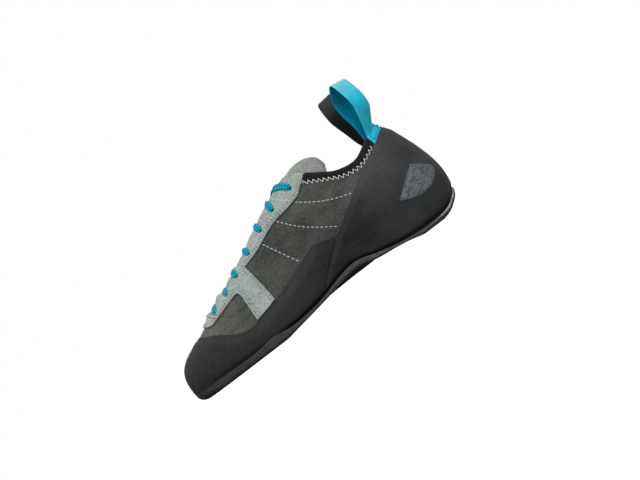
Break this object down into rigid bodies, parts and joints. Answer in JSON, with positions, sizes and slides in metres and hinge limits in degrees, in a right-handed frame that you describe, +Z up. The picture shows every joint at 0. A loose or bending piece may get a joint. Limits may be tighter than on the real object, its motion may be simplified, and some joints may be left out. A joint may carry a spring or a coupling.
{
  "type": "climbing shoe",
  "caption": "Low-cut laced climbing shoe for the right foot: suede upper, rubber rands round toe and heel, smooth arched outsole and pull loops at the heel.",
  "frame": {"origin": "centre of the shoe's box in plan, on the floor that the sole stands on", "axes": "+X towards the toe, +Y towards the shoe's inner (medial) side, +Z up"},
  "size_m": [0.2448, 0.0843, 0.127],
  "materials": {
    "suede_dark": "napped dark grey suede",
    "suede_light": "napped light grey suede",
    "tongue_suede": "padded light grey microsuede",
    "rubber_sole": "matt smooth climbing rubber with a ground edge",
    "rubber_heel": "matt rubber sheet",
    "rubber_toe": "matt rubber sheet",
    "knit_black": "soft black knit",
    "webbing_teal": "woven flat webbing",
    "webbing_dark": "woven flat webbing",
    "lace_teal": "flat woven lace",
    "insole_fabric": "plain grey lining cloth"
  },
  "bodies": {
    "root": {"upper": "suede_dark", "outsole": "rubber_sole", "insole": "insole_fabric", "collar_band": "knit_black", "heel_rand": "rubber_heel", "toe_rand": "rubber_toe", "eyestay_front": "suede_light", "eyestay_rear_medial": "suede_light", "eyestay_rear_lateral": "suede_light", "tongue": "tongue_suede", "pull_loop_medial": "webbing_teal", "pull_loop_lateral": "webbing_dark", "lace_bar": "lace_teal", "lace_crossing_1": "lace_teal", "lace_crossing_2": "lace_teal", "lace_crossing_3": "lace_teal", "lace_crossing_4": "lace_teal", "lace_crossing_5": "lace_teal", "lace_crossing_6": "lace_teal"}
  },
  "joints": []
}
